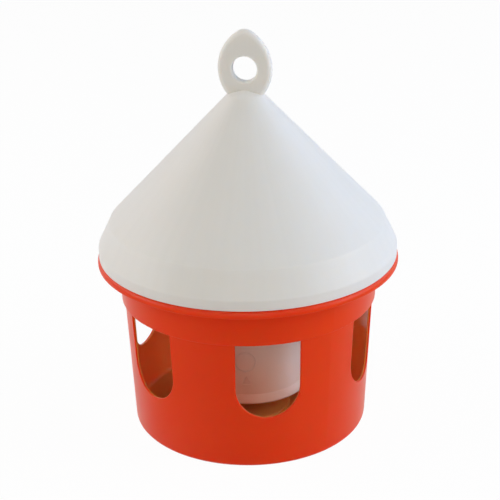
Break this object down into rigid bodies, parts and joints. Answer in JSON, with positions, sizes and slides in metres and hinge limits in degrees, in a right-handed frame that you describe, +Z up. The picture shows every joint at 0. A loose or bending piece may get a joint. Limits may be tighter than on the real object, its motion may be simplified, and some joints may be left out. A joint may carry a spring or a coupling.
{
  "type": "pigeon drinker",
  "caption": "Hanging drinker for pigeons: a white conical reservoir whose neck stands mouth-down in a round orange-red trough with U-shaped windows.",
  "frame": {"origin": "middle of the base's underside, on the ground", "axes": "+Z up through the centre of the dish, the neck and the eye; the eye lies in the XZ plane and a hook passes through it along Y"},
  "size_m": [0.2038, 0.2038, 0.2735],
  "materials": {
    "base_plastic": "orange-red polypropylene, injection moulded, satin gloss",
    "reservoir_plastic": "white polyethylene, blow moulded, fine satin grain"
  },
  "bodies": {
    "root": {"trough_base": "base_plastic", "reservoir": "reservoir_plastic"}
  },
  "joints": []
}
